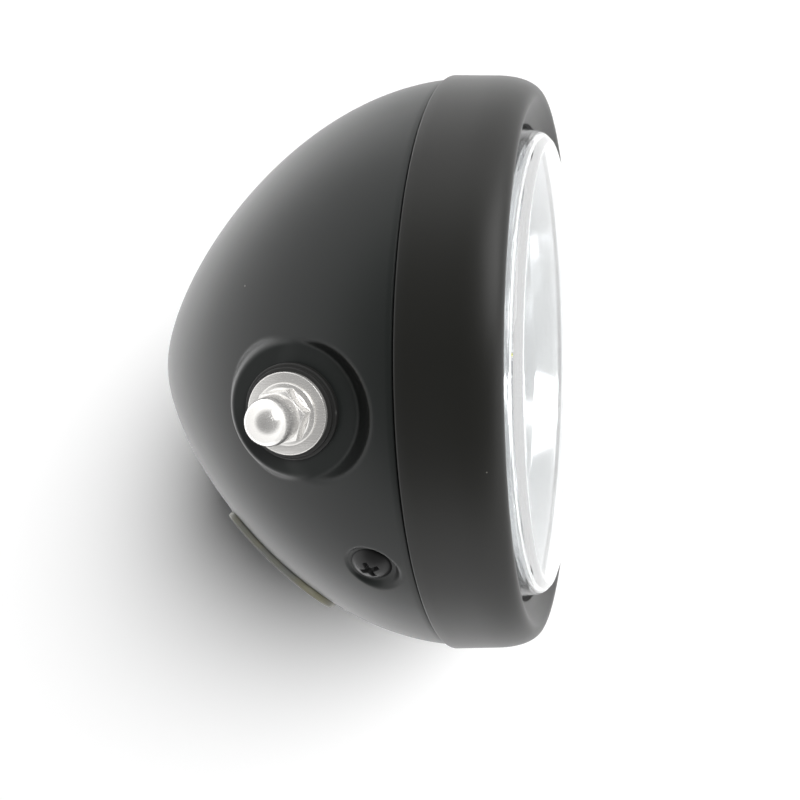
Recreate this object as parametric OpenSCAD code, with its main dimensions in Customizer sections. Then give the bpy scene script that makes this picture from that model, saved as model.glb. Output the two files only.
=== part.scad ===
// Round LED headlight for a motorbike: a deep steel bucket, a clamping trim ring,
// a sealed LED unit behind a domed lens, and the two side bolts that carry it.
// The lamp looks towards -Y, its side bolts lie along X and up is +Z.
// The origin is the middle of the side-bolt axis.

/* [Bucket] */
// How far the bucket's edge stands back from the trim ring's at the seam
seam_step = 1.1; // [0.6:0.1:1.4]
// Depth of the bucket from the seam to the tip of its nose
bowl_depth = 118; // [110:1:130]
// How far back the side of the bucket leans on its first control point
side_reach = 62; // [50:1:66]
// How far out the round nose leans on its last control point
nose_reach = 17.5; // [14:0.1:22]
// Sheet thickness of the bucket
bowl_wall = 1.4; // [1:0.1:1.8]
// Distance of the seam in front of the side-bolt axis
seam_y = 30; // [28:0.5:34]
// Width of the stiffening flange that the bucket turns inwards at the seam
seam_flange = 3.6; // [3.2:0.1:3.8]
// Corner cut off both edges of the seam
seam_chamfer = 0.7; // [0.3:0.1:0.9]

/* [Side pads] */
// Depth of each pressed pad below the widest part of the bucket
pad_sink = 6.8; // [6:0.2:8]
// Radius of the flat part of a pad
pad_r = 17.5; // [16:0.5:18]
// Width of the sloping wall around a pad
pad_flare_w = 6.5; // [6:0.5:8]
// Height that the sloping wall climbs at the front of a pad
pad_rise = 7.5; // [6.5:0.5:9]
// Height that the sloping wall drops at the back of a pad
pad_drop = 13; // [12:0.5:16]

/* [Cable slot] */
// Length of the oblong slot in the bucket
slot_len = 42; // [34:1:44]
// Width of the oblong slot in the bucket
slot_w = 14; // [12:0.5:16]
// Distance of the slot behind the seam
slot_back = 59; // [56:1:62]
// Distance of the slot from the middle of the lamp
slot_x = 43; // [38:1:46]
// Reach of the slot trim's flanges past the slot edge
slot_trim_lip = 2.4; // [2:0.1:3]
// Height of the slot trim above the bucket
slot_trim_out = 2.2; // [1.6:0.1:2.6]

/* [Trim ring] */
// Outside radius of the trim ring at the seam
rim_r = 95.9; // [92:0.1:99]
// Depth of the trim ring in front of the seam
rim_depth = 26.2; // [24:0.2:28]
// How much narrower the trim ring is where its front edge starts to turn in
rim_lean = 1.2; // [0.8:0.1:1.4]
// Width of the rounded front edge, measured towards the lamp axis
rim_round_w = 6.8; // [6:0.1:7.6]
// Length of the rounded front edge, measured along the lamp axis
rim_round_l = 15.8; // [14:0.2:17]
// Gap between the lip of the trim ring and the side of the lens
lens_gap = 1; // [0.8:0.1:1.4]
// Sheet thickness of the trim ring
rim_wall = 1.4; // [1:0.1:1.6]

/* [Lens] */
// Distance from the outside of the trim ring to the side of the lens
lens_inset = 17.5; // [16.5:0.1:18.5]
// Width of the flange around the lens
lens_flange_w = 6.2; // [5.6:0.1:6.6]
// Thickness of the lens
lens_wall = 3; // [2.5:0.1:3.2]
// Height of the lens corner above the lens flange
lens_side_h = 11.4; // [10.4:0.2:13]
// Radius of the round corner between the side wall and the dome
lens_corner_r = 4.2; // [3.6:0.2:5]
// Rise of the dome between the lens corner and its middle
lens_rise = 11; // [9:0.5:13]

/* [Reflector] */
// Focal length of the reflector bowl
focal = 27; // [26:0.5:28]
// Wall of the reflector
reflector_wall = 2; // [1.6:0.1:2.4]
// Radius of the reflector's neck hole
neck_r = 20; // [19:0.5:21]
// Height of the bright collar in front of the reflector bowl
collar_h = 9; // [7:0.5:9.5]

/* [Side bolts] */
// Radius of the bolt thread
bolt_r = 4; // [3.5:0.1:4.2]
// Width across the flats of the bolt head
bolt_af = 13; // [12:0.1:13]
// Radius of the flange under the bolt head
bolt_flange_r = 8.4; // [8.2:0.1:9.2]
// Height of the domed head above its washer
bolt_head_h = 16.2; // [15:0.2:17]
// How much narrower the round tip of the bolt head is than the foot of its dome
bolt_taper = 0.1; // [0.1:0.1:0.6]
// Radius of the bright steel washer
washer_r = 11; // [10.5:0.1:11.4]
// Thickness of the bright steel washer
washer_t = 1.6; // [1.2:0.1:2]
// Radius of the rubber bush
bush_r = 13; // [12.4:0.1:13.4]
// Thickness of the wide part of the rubber bush
bush_t = 2.2; // [1.8:0.1:2.6]

/* [Rim screws] */
// Radius of the screw head
screw_head_r = 5.9; // [5.5:0.1:6]
// Height of the screw head
screw_head_h = 2.6; // [2.2:0.1:3]
// Radius of the screw thread
screw_r = 2.5; // [2:0.1:2.5]
// Angle of each rim screw below the side-bolt axis
screw_angle = 28.6; // [24:0.2:32]
// Distance of the rim screws behind the seam
screw_back = 12.9; // [12:0.1:14]

/* [Hidden] */

$fn = 96;
// Overlap that keeps cutting tools clear of the faces they cut
eps = 0.01;
// Steps along each curved outline
curve_steps = 40;
// Clearance around a screw or bolt in its hole
hole_gap = 0.25;
// Gap between a thread and the nut drawn around it
thread_gap = 0.05;

// Bucket
seam_z = seam_y;
bowl_r = rim_r - seam_step;
bowl_lean = 1;
pad_x = bowl_r - pad_sink;
// Share of an inset that the middle control points take sideways
inset_share = 0.4;
pad_root = pad_x - 28;
pad_blend = 6;
// Sideways share of the sheet thickness on the sloping walls
wall_lean = 0.8;

// Slot trim
slot_trim_in = 1.2;
slot_trim_neck = 1.2;

// Lens
lens_r = rim_r - lens_inset;
lens_flange_r = lens_r + lens_flange_w;
lens_draft = 1.2;
lens_edge_r = lens_r - lens_draft;

// Trim ring
rim_front_z = seam_z + rim_depth;
rim_open_r = lens_r + lens_gap;
rim_arc_r = rim_r - rim_lean - rim_round_w;
rim_arc_z = rim_front_z - rim_round_l;
// Turn of the front edge at which it runs on as a straight bevel
bevel_turn = 105;
rim_steps = 24;
rim_flange_in = bowl_r - seam_flange;
rim_flange_z = seam_z + rim_wall;

// LED unit stack, from the lip of the trim ring backwards
seal_t = 3;
seal_margin = 0.6;
lens_flange_t = 3;
unit_flange_t = 2.8;
lens_front_z = bevel_end(rim_wall)[1] - seal_t;
lens_flange_z = lens_front_z - lens_flange_t;
unit_flange_z = lens_flange_z - unit_flange_t;
lens_corner_z = lens_front_z + lens_side_h;
groove_r = lens_r + lens_flange_w / 2;
groove_w = 2;
groove_h = 1.2;

// Reflector
collar_gap = 0.6;
collar_t = 1.6;
collar_flare = 0.5;
collar_r = lens_edge_r - lens_wall - collar_gap;
bowl_front_r = collar_r - collar_t;
bowl_front_z = lens_flange_z - 1;
neck_flange_h = 3;
bowl_zero_z = bowl_front_z - bowl_front_r * bowl_front_r / (4 * focal);
neck_z = bowl_zero_z + neck_r * neck_r / (4 * focal);
neck_t = 5;
neck_back_z = neck_z - neck_t + reflector_wall;
neck_flange_r = neck_r + 16;

// Retaining ring and clips
ring_t = 1.2;
ring_z = unit_flange_z - ring_t;
ring_gap = 2;
ring_in_r = bowl_front_r + 2 * reflector_wall + ring_gap;
ring_out_r = lens_flange_r + 4.2;
clip_t = 1;
clip_w = 12;
clip_gap = 1.5;
clip_out_r = rim_r - rim_wall - clip_gap;
clip_bend_r = clip_out_r - 1.4;
clip_pad_r = ring_out_r - clip_t;
clip_in_r = ring_in_r + 2 * clip_t;
clip_angles = [0, 90, 180, 270];

// LED post and boards
post_w = 16;
post_t = 5;
post_base_r = neck_r - 3;
post_base_h = 6;
board_t = 1.2;
board_l = 24;
board_w = 13;
// The boards sit a little behind the focus
board_drop = 3;
board_mid_z = bowl_zero_z + focal - board_drop;
chip_w = 3.2;
chip_t = 0.8;
chip_pitch = 4.4;
cap_r = 13;
cap_wall = 1.5;
cap_depth = 8;
cap_gap = 0.5;
cap_hub_w = 2.2;
post_tip_z = board_mid_z + board_l / 2 + cap_depth - cap_wall + cap_gap;

// Heat sink, driver and socket
gasket_t = 1.5;
gasket_w = 5;
gasket_r = neck_r + 4;
sink_front_z = neck_back_z - gasket_t;
sink_t = 5;
sink_back_z = sink_front_z - sink_t;
sink_r = neck_flange_r + 2;
cup_r = neck_r + 5;
cup_wall = 2.6;
fin_count = 16;
fin_t = 2;
fin_h = 18;
cup_h = 22;
cup_back_z = sink_back_z - cup_h;
board_seat_h = 9;
board_seat_w = 4;
driver_t = 1.6;
driver_gap = 0.4;
block_w = 10;
block_h = 5.4;
can_r = 3;
can_h = 4.4;
cover_t = 3;
sink_pcd_r = (cup_r + neck_flange_r) / 2 + 0.5;
sink_screw_r = 2;
sink_head_r = 3.5;
sink_head_h = 2.4;
sink_screw_l = sink_t + gasket_t + 2.1;
sink_screw_hole = 3.4;
socket_hex_r = 1.6;
socket_hex_h = 1.2;
sink_angles = [for (k = [0:3]) (0.5 + k * fin_count / 4) * 360 / fin_count];
cover_pcd_r = cup_r - 4.4;
cover_screw_r = 1.25;
cover_head_r = 2.2;
cover_head_h = 1.6;
cover_boss_r = 2.6;
cover_boss_h = 9;
cover_hole_h = 7;
cover_angles = [90, 210, 330];
socket_w = 25;
socket_h = 20;
socket_depth = 15;
socket_wall = 1.6;
blade_w = 8;
blade_t = 0.8;
blade_out = 12;
blade_in = 4;
blade_drop = 2;
blade_side = socket_w / 2 - 4.1;
blade_top = socket_h / 2 - 4.6;
vent_r = 2.2;
vent_head_r = 3.4;
vent_head_h = 2;
vent_x = cup_r - 8;

// Side-bolt stack, as distances from the lamp axis
washer_bevel = 0.3;
bush_step_r = 12;
bush_step_t = 1;
washer_x = pad_x + bush_t + bush_step_t;
head_x = washer_x + washer_t;
flange_t = 1.9;
flange_bevel = 0.4;
hex_h = 5.6;
hex_bevel = 0.4;
hex_turn = 8;
dome_gap = 0.2;
dome_r = bolt_af / 2 - dome_gap;
dome_steps = 12;
bolt_hole_r = bolt_r + hole_gap;
weld_nut_h = 8;
weld_rim_t = 1.6;
weld_rim_w = 1;
bolt_in = 12;
bush_spigot_r = 6;

// Rim screws
seat_sink = 2.8;
seat_x = bowl_r - seat_sink;
seat_r = screw_head_r + 1;
seat_rise = 2.4;
seat_flare = 1.6;
lug_t = 1.6;
lug_w = 14;
lug_x = seat_x - bowl_wall;
lug_tail = 6;
lug_foot = 3.8;
lug_nut_af = 8;
lug_nut_h = 4;
screw_in = 8;
cross_w = 1.3;
cross_l = 5.4;
cross_deep = 1.7;
rim_screw_y = seam_z - screw_back;

// Points of an arc from angle a0 to angle a1 around [cx, cy]
function arc(cx, cy, r, a0, a1, n) =
    [for (i = [0:n]) let (a = a0 + (a1 - a0) * i / n) [cx + r * cos(a), cy + r * sin(a)]];

// One point of the bucket outline at step u, set in from the outside by inset
function bowl_point(u, inset) =
    let (v = 1 - u,
         r = bowl_r - inset,
         d = bowl_depth - inset,
         lean = r + bowl_lean,
         side = side_reach - inset * inset_share,
         nose = nose_reach - inset * inset_share)
    [r * v * v * v + 3 * lean * v * v * u + 3 * nose * v * u * u,
     seam_z - (3 * side * v * v * u + 3 * d * v * u * u + d * u * u * u)];

// Height of a ramp that starts flat and steepens from 0 to 1
function ramp(u) = pow(u, 1.5);

// Turns a shape drawn around Z so that its axis lies along the lamp, front forwards
module forward() {
    rotate([90, 0, 0]) children();
}

// Repeats a shape drawn around Z on both ends of the side-bolt axis
module both_sides() {
    for (side = [-90, 90]) rotate([0, side, 0]) children();
}

// Repeats a shape drawn around Z along the line of each rim screw
module at_rim_screws() {
    for (side = [-1, 1])
        translate([0, -rim_screw_y, 0])
            rotate([0, side * (90 + screw_angle), 0]) children();
}

// Puts a shape drawn around Z on the bucket's surface at the slot, long side along Y
module at_slot() {
    translate([-slot_x, slot_place_y, slot_place_z])
        rotate([0, 180 + slot_lean, 0]) rotate([-slot_tilt, 0, -slot_swing]) children();
}

// Place of the slot on the bucket, found on the bucket's own outline
slot_u = lookup(slot_back,
    [for (i = [0:curve_steps]) [seam_z - bowl_point(i / curve_steps, 0)[1], i / curve_steps]]);
slot_point = bowl_point(slot_u, 0);
slot_next = bowl_point(slot_u + eps, 0);
slot_place_y = -slot_point[1];
slot_place_z = -sqrt(slot_point[0] * slot_point[0] - slot_x * slot_x);
slot_lean = asin(slot_x / slot_point[0]);
slot_tilt = atan2(slot_point[0] - slot_next[0], slot_point[1] - slot_next[1]);
slot_swing = atan(sin(slot_tilt) * tan(slot_lean));

// A bar with round ends along Y, centred on Z
module oblong(length, width, z0, z1) {
    translate([0, 0, z0]) linear_extrude(z1 - z0) {
        square([width, length - width], center = true);
        for (end = [-1, 1]) translate([0, end * (length - width) / 2]) circle(d = width);
    }
}

// The solid bowl that the bucket's outside or inside follows
module bowl(inset) {
    forward() rotate_extrude() polygon(concat(
        [[0, seam_z - inset]],
        [for (i = [0:curve_steps - 1]) bowl_point(i / curve_steps, inset)
            + (i == 0 ? [0, -inset] : [0, 0])],
        [[0, seam_z - bowl_depth + inset]]));
}

// Everything outside a pad's flat face and the slope that climbs away from it
module pad_recess(inset) {
    flat_r = pad_r + inset * wall_lean;
    rotate_extrude() polygon(concat(
        [[0, pad_x - inset]],
        [for (i = [0:pad_blend]) let (u = i / pad_blend)
            [flat_r + pad_flare_w * u, pad_x - inset + pad_rise * ramp(u)]],
        [[flat_r + pad_flare_w, pad_x + 2 * pad_rise], [0, pad_x + 2 * pad_rise]]));
}

// The solid under a pad's flat face and the slope that drops away from it
module pad_boss(inset) {
    flat_r = pad_r - inset * wall_lean;
    rotate_extrude() polygon(concat(
        [[0, pad_root]],
        [[flat_r + pad_flare_w, pad_root]],
        [for (i = [pad_blend:-1:0]) let (u = i / pad_blend)
            [flat_r + pad_flare_w * u, pad_x - inset - pad_drop * ramp(u)]],
        [[0, pad_x - inset]]));
}

// The shallow round seat that takes a rim screw's head
module screw_seat(inset) {
    translate([0, 0, seat_x - inset])
        cylinder(r1 = seat_r + inset, r2 = seat_r + inset + seat_flare * 2, h = seat_rise * 2);
}

// The bowl with its pads and screw seats pressed in
module pressed_bowl(inset) {
    difference() {
        union() {
            difference() {
                bowl(inset);
                both_sides() pad_recess(inset);
            }
            both_sides() pad_boss(inset);
        }
        at_rim_screws() screw_seat(inset);
    }
}

module bucket_shell() {
    color("#2b2b2a") difference() {
        pressed_bowl(0);
        pressed_bowl(bowl_wall);
        forward() translate([0, 0, seam_z - 2 * bowl_wall])
            cylinder(r = bowl_r - seam_flange, h = 3 * bowl_wall);
        forward() rotate_extrude() polygon([
            [bowl_r - seam_chamfer, seam_z + eps],
            [bowl_r + 1, seam_z + eps],
            [bowl_r + 1, seam_z - seam_chamfer - 1],
            [bowl_r, seam_z - seam_chamfer]]);
        both_sides() translate([0, 0, pad_x - 2 * bowl_wall])
            cylinder(r = bush_spigot_r, h = 3 * bowl_wall);
        at_rim_screws() translate([0, 0, seat_x - 3 * bowl_wall])
            cylinder(r = screw_r + hole_gap, h = 4 * bowl_wall);
        at_slot() oblong(slot_len, slot_w, -8, 8);
    }
}

// A moulded edge trim that grips the sheet all round the slot
module slot_trim() {
    color("#8d8a72") difference() {
        intersection() {
            difference() {
                bowl(-slot_trim_out);
                bowl(bowl_wall + slot_trim_in);
            }
            at_slot() oblong(slot_len + 2 * slot_trim_lip, slot_w + 2 * slot_trim_lip, -12, 12);
        }
        difference() {
            bowl(0);
            bowl(bowl_wall);
            at_slot() oblong(slot_len, slot_w, -12, 12);
        }
        at_slot() oblong(slot_len - 2 * slot_trim_neck, slot_w - 2 * slot_trim_neck, -14, 14);
    }
}

module trim_ring() {
    color("#262626") forward() rotate_extrude() polygon(concat(
        [[rim_flange_in, seam_z], [rim_r - seam_chamfer, seam_z], [rim_r, seam_z + seam_chamfer]],
        [for (i = [0:rim_steps]) rim_edge(bevel_turn * i / rim_steps, 0)],
        [bevel_end(0), bevel_end(rim_wall)],
        [for (i = [rim_steps:-1:0]) rim_edge(bevel_turn * i / rim_steps, rim_wall)],
        [[rim_r - rim_wall, rim_flange_z], [rim_flange_in, rim_flange_z]]));
}

// A point of the trim ring's oval front edge after a turn, set in from the outside by inset
function rim_edge(turn, inset) =
    [rim_arc_r + (rim_round_w - inset) * cos(turn), rim_arc_z + (rim_round_l - inset) * sin(turn)];

// Where the straight bevel of the trim ring stops, in line with the end of its oval edge
function bevel_end(inset) =
    let (start = rim_edge(bevel_turn, inset),
         way = [-rim_round_w * sin(bevel_turn), rim_round_l * cos(bevel_turn)],
         run = (rim_edge(bevel_turn, 0)[0] - rim_open_r) / -way[0])
    start + way * run;

// Brackets welded inside the trim ring, reaching back under the bucket to the screws
module rim_lugs() {
    foot_y = screw_back + rim_wall;
    color("#9a9da0") at_rim_screws() difference() {
        union() {
            translate([-lug_w / 2, -foot_y - lug_t, lug_x - lug_t])
                cube([lug_w, foot_y + lug_t + lug_tail, lug_t]);
            translate([-lug_w / 2, -foot_y - lug_t, lug_x - lug_t])
                cube([lug_w, lug_t, lug_foot]);
        }
        translate([0, 0, lug_x - 2 * lug_t]) cylinder(r = screw_r + hole_gap, h = 3 * lug_t);
    }
}

module lug_nuts() {
    color("#a8a9ab") at_rim_screws() translate([0, 0, lug_x - lug_t - lug_nut_h]) difference() {
        cylinder(d = lug_nut_af / cos(30), h = lug_nut_h, $fn = 6);
        translate([0, 0, -1]) cylinder(r = screw_r + thread_gap, h = lug_nut_h + 2);
    }
}

// One arm of the cross recess in a screw head
module cross_arm() {
    translate([-cross_l / 2, -cross_w / 2, 0]) cube([cross_l, cross_w, cross_deep + 1]);
}

module rim_screws() {
    crown = (screw_head_r * screw_head_r + screw_head_h * screw_head_h) / (2 * screw_head_h);
    color("#1b1b1b") at_rim_screws() difference() {
        union() {
            intersection() {
                translate([0, 0, seat_x + screw_head_h - crown]) sphere(r = crown);
                translate([0, 0, seat_x]) cylinder(r = screw_head_r - 0.1, h = screw_head_h);
            }
            translate([0, 0, seat_x - screw_in]) cylinder(r = screw_r, h = screw_in + eps);
        }
        for (turn = [20, 110])
            translate([0, 0, seat_x + screw_head_h - cross_deep]) rotate(turn) cross_arm();
    }
}

// Outline of the domed head: a cone that runs smoothly into a round tip
function dome_outline() =
    let (tip_r = dome_r - bolt_taper,
         tip_z = bolt_head_h - tip_r,
         span = norm([dome_r, tip_z - hex_h]),
         turn = acos(tip_r / span) - atan2(tip_z - hex_h, dome_r))
    concat([[0, 0], [dome_r, 0], [dome_r, hex_h]], arc(0, tip_z, tip_r, turn, 90, dome_steps));

module side_bolts() {
    flange_h = flange_t / 2;
    color("#d8d9da") both_sides() {
        translate([0, 0, pad_x - bolt_in]) cylinder(r = bolt_r, h = head_x - pad_x + bolt_in);
        translate([0, 0, head_x]) {
            cylinder(r1 = bolt_flange_r, r2 = bolt_flange_r - flange_bevel, h = flange_h);
            translate([0, 0, flange_h])
                cylinder(r1 = bolt_flange_r - flange_bevel, r2 = bolt_af / 2, h = flange_h);
            intersection() {
                rotate(hex_turn) cylinder(d = bolt_af / cos(30), h = hex_h + bolt_af, $fn = 6);
                cylinder(r1 = bolt_af / 2 + hex_h - hex_bevel, r2 = bolt_af / 2 - hex_bevel, h = hex_h);
            }
            rotate_extrude() polygon(dome_outline());
        }
    }
}

module side_washers() {
    color("#cfd0d1") both_sides() translate([0, 0, washer_x]) difference() {
        union() {
            cylinder(r = washer_r, h = washer_t - washer_bevel);
            translate([0, 0, washer_t - washer_bevel])
                cylinder(r1 = washer_r, r2 = washer_r - washer_bevel, h = washer_bevel);
        }
        translate([0, 0, -1]) cylinder(r = bolt_hole_r, h = washer_t + 2);
    }
}

module side_bushes() {
    color("#161616") both_sides() difference() {
        union() {
            translate([0, 0, pad_x]) cylinder(r = bush_r, h = bush_t);
            translate([0, 0, pad_x + bush_t - eps]) cylinder(r = bush_step_r, h = bush_step_t + eps);
            translate([0, 0, pad_x - bowl_wall])
                cylinder(r = bush_spigot_r, h = bowl_wall + eps);
        }
        translate([0, 0, pad_x - 5]) cylinder(r = bolt_hole_r, h = 12);
    }
}

module side_weld_nuts() {
    color("#a8a9ab") both_sides() translate([0, 0, pad_x - bowl_wall - weld_nut_h]) difference() {
        union() {
            cylinder(d = bolt_af / cos(30), h = weld_nut_h, $fn = 6);
            translate([0, 0, weld_nut_h - weld_rim_t])
                cylinder(r = bolt_flange_r + weld_rim_w, h = weld_rim_t);
        }
        translate([0, 0, -1]) cylinder(r = bolt_r + thread_gap, h = weld_nut_h + 2);
    }
}

// Outline of one face of the lens from its middle to the bottom of its side wall
function lens_face(inset) =
    let (corner_r = lens_corner_r - inset,
         cr = lens_edge_r - lens_corner_r,
         cz = lens_corner_z - lens_corner_r,
         half = cr + lens_corner_r * 0.35,
         ball = (half * half + lens_rise * lens_rise) / (2 * lens_rise),
         apex = cz + lens_corner_r + lens_rise,
         tilt = asin(half / ball))
    concat(
        [for (i = [0:24]) let (a = tilt * i / 24)
            [(ball - inset) * sin(a), apex - ball + (ball - inset) * cos(a)]],
        arc(cr, cz, corner_r, 60, 0, 10));

module lens() {
    color("#dfe8ee", 0.35) forward() rotate_extrude() polygon(concat(
        lens_face(0),
        [[lens_r, lens_front_z], [lens_flange_r, lens_front_z], [lens_flange_r, lens_flange_z],
         [lens_r - lens_wall, lens_flange_z]],
        [for (i = [len(lens_face(lens_wall)) - 1:-1:0]) lens_face(lens_wall)[i]]));
}

module lens_seal() {
    near = bevel_end(rim_wall);
    way = rim_edge(bevel_turn, rim_wall) - near;
    far = near + way * (lens_flange_r - seal_margin - near[0]) / way[0];
    color("#1a1a1a") forward() rotate_extrude()
        polygon([[near[0], lens_front_z], [far[0], lens_front_z], far, near]);
}

module reflector() {
    out_r = lens_flange_r;
    step_r = (bowl_front_r - neck_r) / curve_steps;
    bowl_in = [for (i = [0:curve_steps]) let (r = neck_r + i * step_r)
        [r, bowl_zero_z + r * r / (4 * focal)]];
    bowl_out = [for (i = [curve_steps:-1:6]) let (r = neck_r + i * step_r)
        [r + reflector_wall * wall_lean, bowl_zero_z + r * r / (4 * focal) - reflector_wall]];
    color("#e3e5e6") difference() {
        forward() rotate_extrude() polygon(concat(
            bowl_in,
            [[bowl_front_r + collar_flare, lens_flange_z + collar_h],
             [collar_r, lens_flange_z + collar_h], [collar_r, lens_flange_z],
             [out_r, lens_flange_z], [out_r, unit_flange_z],
             [bowl_front_r + 2 * reflector_wall, unit_flange_z]],
            bowl_out,
            [[neck_flange_r, neck_back_z + neck_flange_h], [neck_flange_r, neck_back_z],
             [neck_r, neck_back_z]]));
        forward() translate([0, 0, lens_flange_z - groove_h]) ring(groove_r, groove_w, groove_h + 1);
        forward() for (a = sink_angles) rotate(a) translate([sink_pcd_r, 0, neck_back_z - 1])
            cylinder(r = sink_screw_r, h = sink_screw_hole);
    }
}

// A flat ring of mean radius r and width w
module ring(r, w, h) {
    difference() {
        cylinder(r = r + w / 2, h = h);
        translate([0, 0, -1]) cylinder(r = r - w / 2, h = h + 2);
    }
}

module unit_gasket() {
    color("#3a3a3c") forward() translate([0, 0, lens_flange_z - groove_h])
        ring(groove_r, groove_w, groove_h);
}

module retaining_ring() {
    color("#a6a8aa") forward() translate([0, 0, ring_z])
        ring((ring_in_r + ring_out_r) / 2, ring_out_r - ring_in_r, ring_t);
}

// Spring clips braced between the trim ring's back flange and the retaining ring
module retaining_clips() {
    foot_z = rim_flange_z;
    color("#8e9193") forward() for (a = clip_angles) rotate(a)
        rotate([90, 0, 0]) translate([0, 0, -clip_w / 2]) linear_extrude(clip_w) polygon([
            [clip_out_r, foot_z], [clip_out_r, foot_z + clip_t],
            [clip_bend_r, foot_z + clip_t], [clip_pad_r, ring_z], [clip_in_r, ring_z],
            [clip_in_r, ring_z - clip_t], [clip_pad_r - clip_t, ring_z - clip_t],
            [clip_bend_r - clip_t, foot_z]]);
}

module led_post() {
    color("#b9bcbe") forward() {
        translate([0, 0, sink_front_z]) cylinder(r = post_base_r, h = post_base_h);
        translate([-post_w / 2, -post_t / 2, sink_front_z])
            cube([post_w, post_t, post_tip_z - sink_front_z]);
    }
}

// One LED board lying on the post, on the side given by sign
module led_board(sign) {
    forward() translate([-board_w / 2, sign * (post_t + board_t) / 2 - board_t / 2,
                         board_mid_z - board_l / 2])
        cube([board_w, board_t, board_l]);
}

module led_board_upper() {
    color("#f0f0ea") led_board(1);
}

module led_board_lower() {
    color("#f0f0ea") led_board(-1);
}

module led_chips() {
    color("#e6c84a") forward() for (sign = [-1, 1]) for (k = [-2:2])
        translate([-chip_w / 2, sign * (post_t / 2 + board_t + chip_t / 2) - chip_t / 2,
                   board_mid_z + k * chip_pitch - chip_w / 2])
            cube([chip_w, chip_t, chip_w]);
}

// A bright cup pushed over the post's tip, hiding the LEDs from in front
module glare_cap() {
    color("#d9dadb") forward() difference() {
        translate([0, 0, post_tip_z - cap_depth + cap_wall]) cylinder(r = cap_r, h = cap_depth);
        translate([0, 0, post_tip_z - cap_depth]) difference() {
            cylinder(r = cap_r - cap_wall, h = cap_depth);
            cylinder(r = post_w / 2 + cap_hub_w, h = cap_depth);
        }
        translate([-post_w / 2, -post_t / 2, post_tip_z - cap_depth])
            cube([post_w, post_t, cap_depth]);
    }
}

module heat_sink() {
    color("#8b8e90") forward() difference() {
        union() {
            translate([0, 0, sink_back_z]) cylinder(r = sink_r, h = sink_t);
            translate([0, 0, cup_back_z]) difference() {
                cylinder(r = cup_r, h = cup_h + 1);
                translate([0, 0, -1]) cylinder(r = cup_r - cup_wall, h = cup_h + 1);
            }
            translate([0, 0, sink_back_z - board_seat_h])
                ring(cup_r - cup_wall, board_seat_w, board_seat_h + 1);
            for (i = [0:fin_count - 1]) rotate(i * 360 / fin_count)
                translate([cup_r - 1, -fin_t / 2, sink_back_z - fin_h])
                    cube([sink_r - cup_r + 1, fin_t, fin_h + 1]);
            for (a = cover_angles) rotate(a)
                translate([cover_pcd_r, 0, cup_back_z]) cylinder(r = cover_boss_r, h = cover_boss_h);
        }
        for (a = sink_angles) rotate(a)
            translate([sink_pcd_r, 0, sink_back_z - 1])
                cylinder(r = sink_screw_r + hole_gap, h = sink_t + 2);
        for (a = cover_angles) rotate(a)
            translate([cover_pcd_r, 0, cup_back_z - 1])
                cylinder(r = cover_screw_r, h = cover_hole_h + 1);
    }
}

module neck_gasket() {
    color("#2c2c2e") forward() translate([0, 0, sink_front_z])
        ring(gasket_r, gasket_w, gasket_t);
}

module heat_sink_screws() {
    color("#b5b6b8") forward() for (a = sink_angles) rotate(a)
        translate([sink_pcd_r, 0, 0]) {
            translate([0, 0, sink_back_z - sink_head_h]) difference() {
                cylinder(r = sink_head_r, h = sink_head_h);
                translate([0, 0, -1]) cylinder(r = socket_hex_r, h = socket_hex_h + 1, $fn = 6);
            }
            translate([0, 0, sink_back_z - eps])
                cylinder(r = sink_screw_r - thread_gap, h = sink_screw_l);
        }
}

module driver_board() {
    color("#2f6b3c") forward() {
        translate([0, 0, sink_back_z - board_seat_h - driver_t]) {
            cylinder(r = cup_r - cup_wall - driver_gap, h = driver_t);
            translate([-block_w + 1, -block_w / 2, -block_h]) cube([block_w, block_w, block_h + eps]);
            translate([2 * can_r, can_r / 2, -can_h]) cylinder(r = can_r, h = can_h + eps);
        }
    }
}

module driver_cover() {
    color("#1d1d1e") difference() {
        forward() translate([0, 0, cup_back_z - cover_t]) cylinder(r = cup_r, h = cover_t);
        forward() for (a = cover_angles) rotate(a)
            translate([cover_pcd_r, 0, cup_back_z - cover_t - 1])
                cylinder(r = cover_screw_r + hole_gap, h = cover_t + 2);
        forward() translate([vent_x, 0, cup_back_z - cover_t - 1])
            cylinder(r = vent_r, h = cover_t + 2);
        blades(thread_gap);
    }
}

module cover_screws() {
    color("#b5b6b8") forward() for (a = cover_angles) rotate(a)
        translate([cover_pcd_r, 0, cup_back_z - cover_t]) {
            translate([0, 0, -cover_head_h]) cylinder(r = cover_head_r, h = cover_head_h);
            translate([0, 0, -eps])
                cylinder(r = cover_screw_r - thread_gap, h = cover_t + cover_hole_h - 2);
        }
}

// The three flat blades, made wider and thicker all round by gap
module blades(gap) {
    length = blade_out + blade_in;
    forward() translate([0, 0, cup_back_z - cover_t - blade_out]) {
        for (side = [-1, 1])
            translate([side * blade_side - blade_t / 2 - gap, -blade_w / 2 - blade_drop - gap, 0])
                cube([blade_t + 2 * gap, blade_w + 2 * gap, length]);
        translate([-blade_w / 2 - gap, blade_top - gap, 0])
            cube([blade_w + 2 * gap, blade_t + 2 * gap, length]);
    }
}

module inlet_socket() {
    color("#161617") difference() {
        forward() translate([0, 0, cup_back_z - cover_t - socket_depth]) difference() {
            translate([-socket_w / 2, -socket_h / 2, 0])
                cube([socket_w, socket_h, socket_depth]);
            translate([-socket_w / 2 + socket_wall, -socket_h / 2 + socket_wall, -1])
                cube([socket_w - 2 * socket_wall, socket_h - 2 * socket_wall, socket_depth - 2]);
        }
        blades(thread_gap);
    }
}

module inlet_blades() {
    color("#c9b26a") blades(0);
}

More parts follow.
